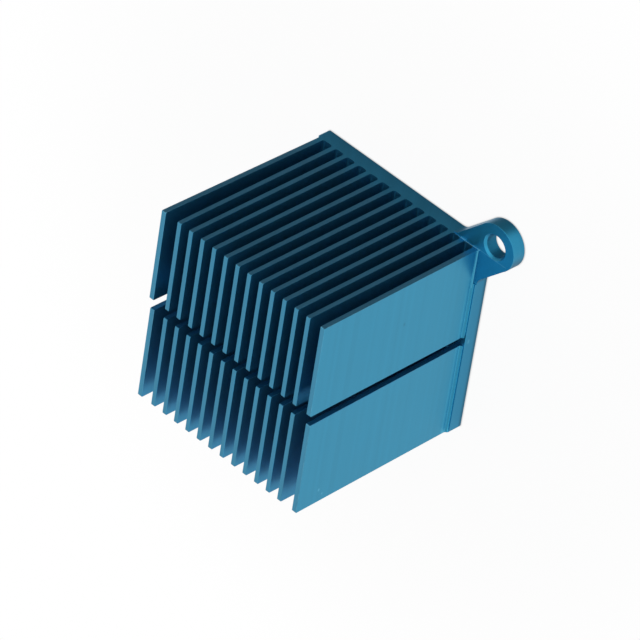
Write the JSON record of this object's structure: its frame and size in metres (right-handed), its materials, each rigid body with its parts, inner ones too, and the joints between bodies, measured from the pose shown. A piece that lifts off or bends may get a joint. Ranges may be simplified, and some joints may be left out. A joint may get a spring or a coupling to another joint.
{
  "type": "heat sink",
  "caption": "Extruded aluminium heat sink: tall plate fins with one cross cut on a flat square base, with two diagonal screw ears.",
  "frame": {"origin": "middle of the base's flat underside", "axes": "+X across the fins, +Y along the fins, +Z from the base to the fin tips; the ears leave the +X+Y and -X-Y corners"},
  "size_m": [0.0544, 0.054, 0.0402],
  "materials": {
    "anodised_aluminium": "blue anodised, satin"
  },
  "bodies": {
    "root": {"heat_sink": "anodised_aluminium"}
  },
  "joints": []
}
